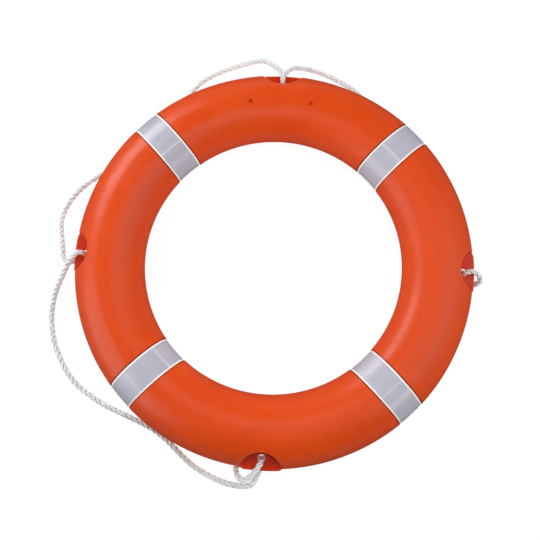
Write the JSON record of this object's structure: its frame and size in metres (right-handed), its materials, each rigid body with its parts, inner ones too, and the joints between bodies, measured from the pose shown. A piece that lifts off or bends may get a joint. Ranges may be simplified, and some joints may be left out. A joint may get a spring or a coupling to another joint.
{
  "type": "life ring",
  "caption": "Round orange buoyant ring with a foam-filled moulded shell, silver reflective bands, and a white rope grab line threaded through holes in pockets on its outer edge.",
  "frame": {"origin": "centre of the ring's underside, on the plane that it rests on when it lies flat", "axes": "+Z along the ring's axis, up through its front face; +X and +Y through the middles of two neighbouring rope pockets, and +Y towards the pocket between the two vents"},
  "size_m": [0.7936, 0.8059, 0.105],
  "materials": {
    "shell": "satin moulded polyethylene",
    "foam": "rigid foam",
    "plug": "matte",
    "tape": "retroreflective sheeting with clear sealed borders",
    "rope": "three-strand laid rope",
    "sleeve": "heat-shrunk"
  },
  "bodies": {
    "root": {"shell": "shell", "foam_core": "foam", "vent_plug_1": "plug", "vent_plug_2": "plug", "tape_a": "tape", "tape_b": "tape", "tape_c": "tape", "tape_d": "tape", "grab_line": "rope", "joint_sleeve": "sleeve"}
  },
  "joints": []
}
